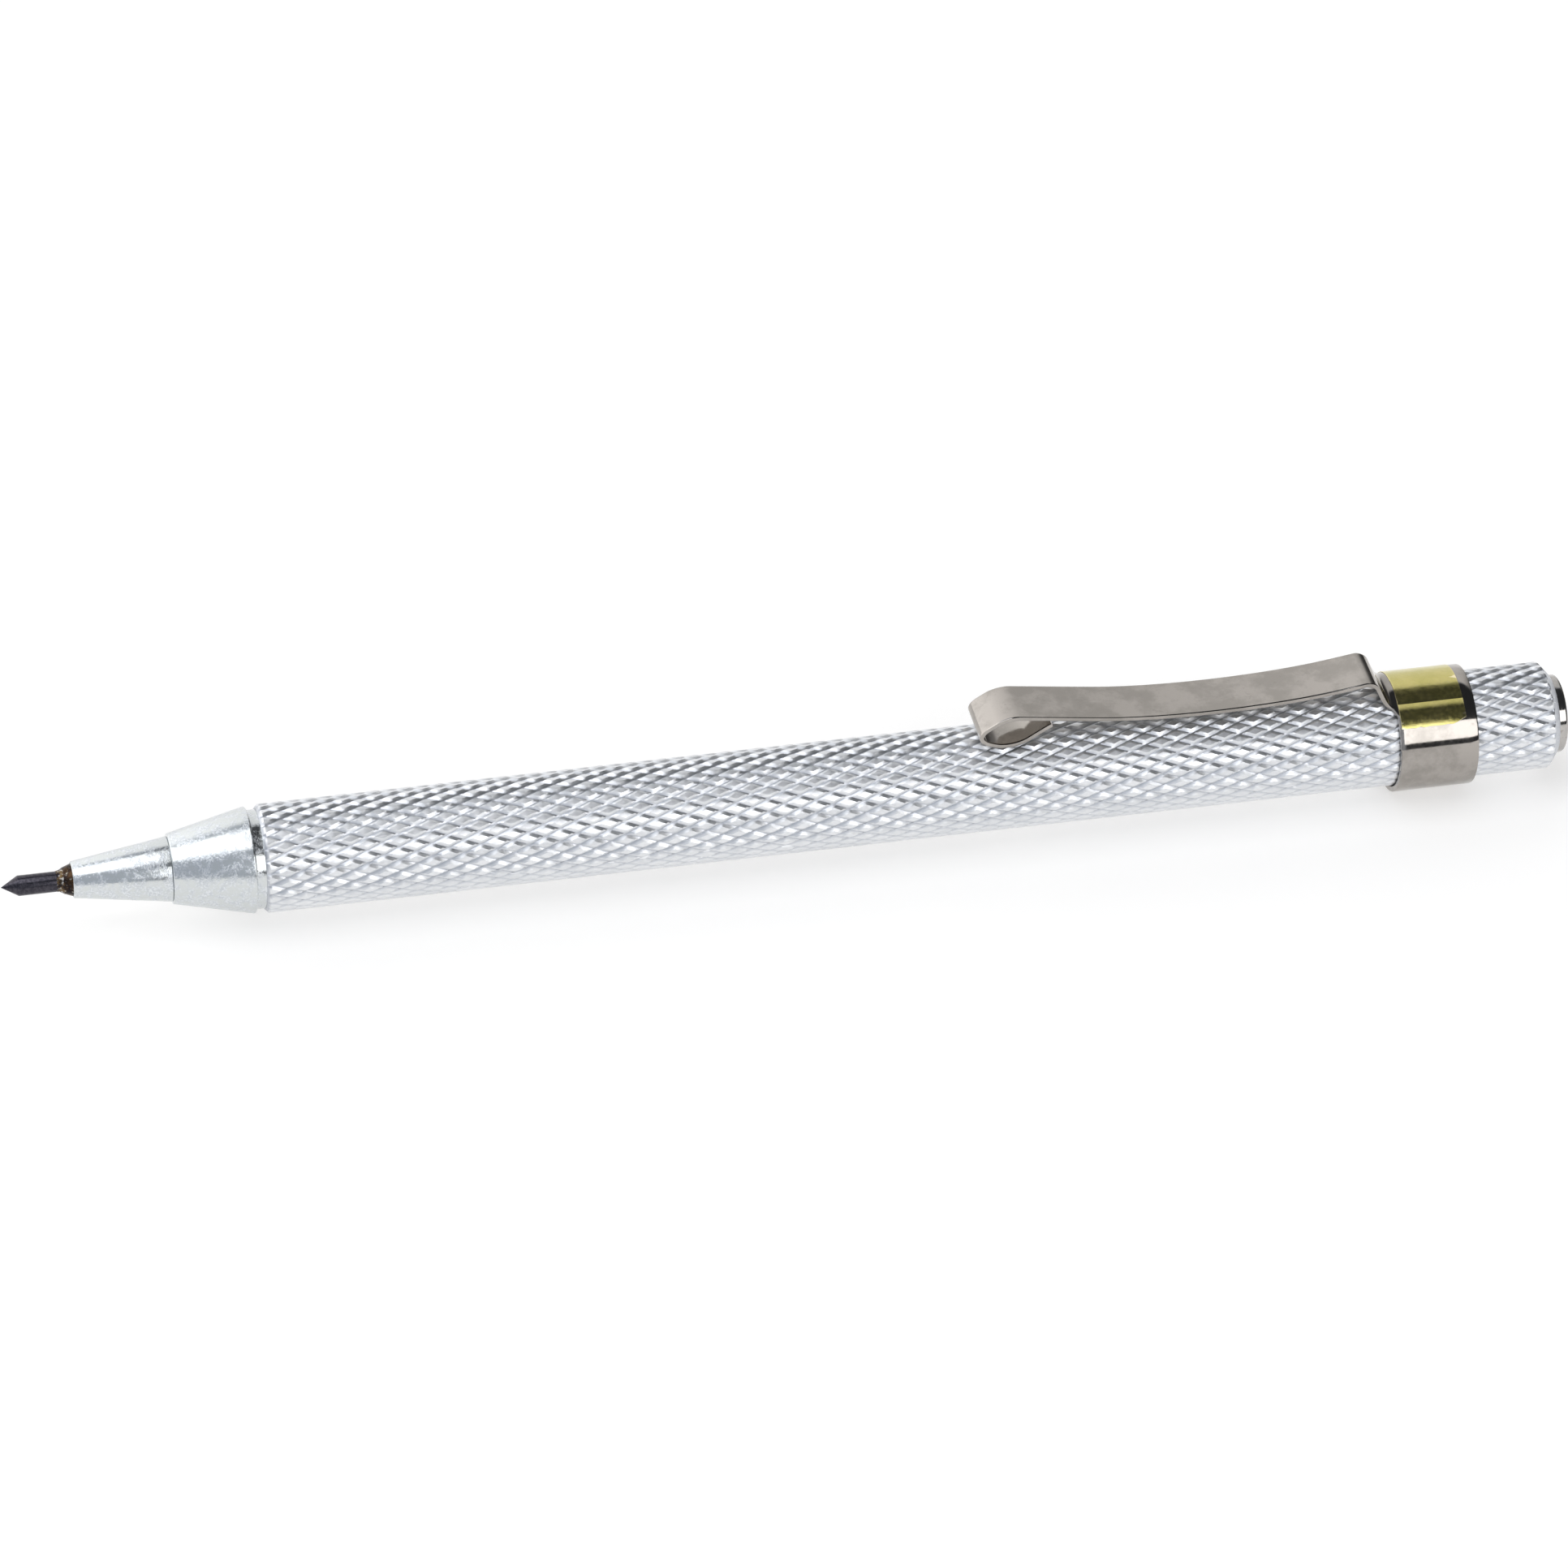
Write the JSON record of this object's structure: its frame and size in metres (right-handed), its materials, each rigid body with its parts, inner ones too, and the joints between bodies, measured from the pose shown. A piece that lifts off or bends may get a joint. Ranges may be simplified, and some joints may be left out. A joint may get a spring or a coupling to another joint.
{
  "type": "pocket scriber",
  "caption": "Pocket scriber: slim knurled round barrel, conical chuck holding a short carbide point, spring pocket clip with rolled foot, and a magnet in the tail.",
  "frame": {"origin": "centre of the magnet's flat end face, on the barrel's axis", "axes": "+X along the barrel's axis, out of the tail; the scribing point is towards -X; +Z is the side that the pocket clip stands on"},
  "size_m": [0.1394, 0.0107, 0.0134],
  "materials": {
    "barrel": "bright diamond knurl",
    "magnet": "bright nickel plate",
    "chuck_body": "turned and polished",
    "chuck_cap": "turned and polished",
    "collet": "turned",
    "point_shank": "heat-coloured at its front end, ground behind",
    "braze_fillet": "smoky braze alloy",
    "carbide_tip": "ground tungsten carbide",
    "clip_band": "nickel plated",
    "clip_arm": "nickel plated",
    "foil_label": "metallised yellow-green film"
  },
  "bodies": {
    "handle": {"barrel": "barrel", "chuck_body": "chuck_body", "magnet": "magnet"},
    "collet": {"collet": "collet"},
    "cap": {"chuck_cap": "chuck_cap"},
    "point": {"point_shank": "point_shank", "braze_fillet": "braze_fillet", "carbide_tip": "carbide_tip"},
    "clip": {"clip_band": "clip_band", "foil_label": "foil_label"},
    "arm": {"clip_arm": "clip_arm"}
  },
  "joints": [
    {"name": "collet_travel", "type": "slide", "parent": "handle", "child": "collet", "axis": [-1, 0, 0], "range_m": [0, 0.003]},
    {"name": "cap_turn", "type": "hinge", "parent": "collet", "child": "cap", "pos_m": [-0.12475, 0, 0], "axis": [-1, 0, 0], "range_deg": [0, 1800]},
    {"name": "point_slide", "type": "slide", "parent": "collet", "child": "point", "axis": [1, 0, 0], "range_m": [-0.012, 0.006]},
    {"name": "clip_slide", "type": "slide", "parent": "handle", "child": "clip", "axis": [1, 0, 0], "range_m": [-0.06, 0.0078]},
    {"name": "clip_flex", "type": "hinge", "parent": "clip", "child": "arm", "pos_m": [-0.01888, 0, 0.00734], "axis": [0, 1, 0], "range_deg": [0, 6], "stiffness_Nm_per_rad": 0.4}
  ],
  "couplings": [
    {"joint": "cap_turn", "follows": "collet_travel", "rad_per_m": 10472}
  ]
}
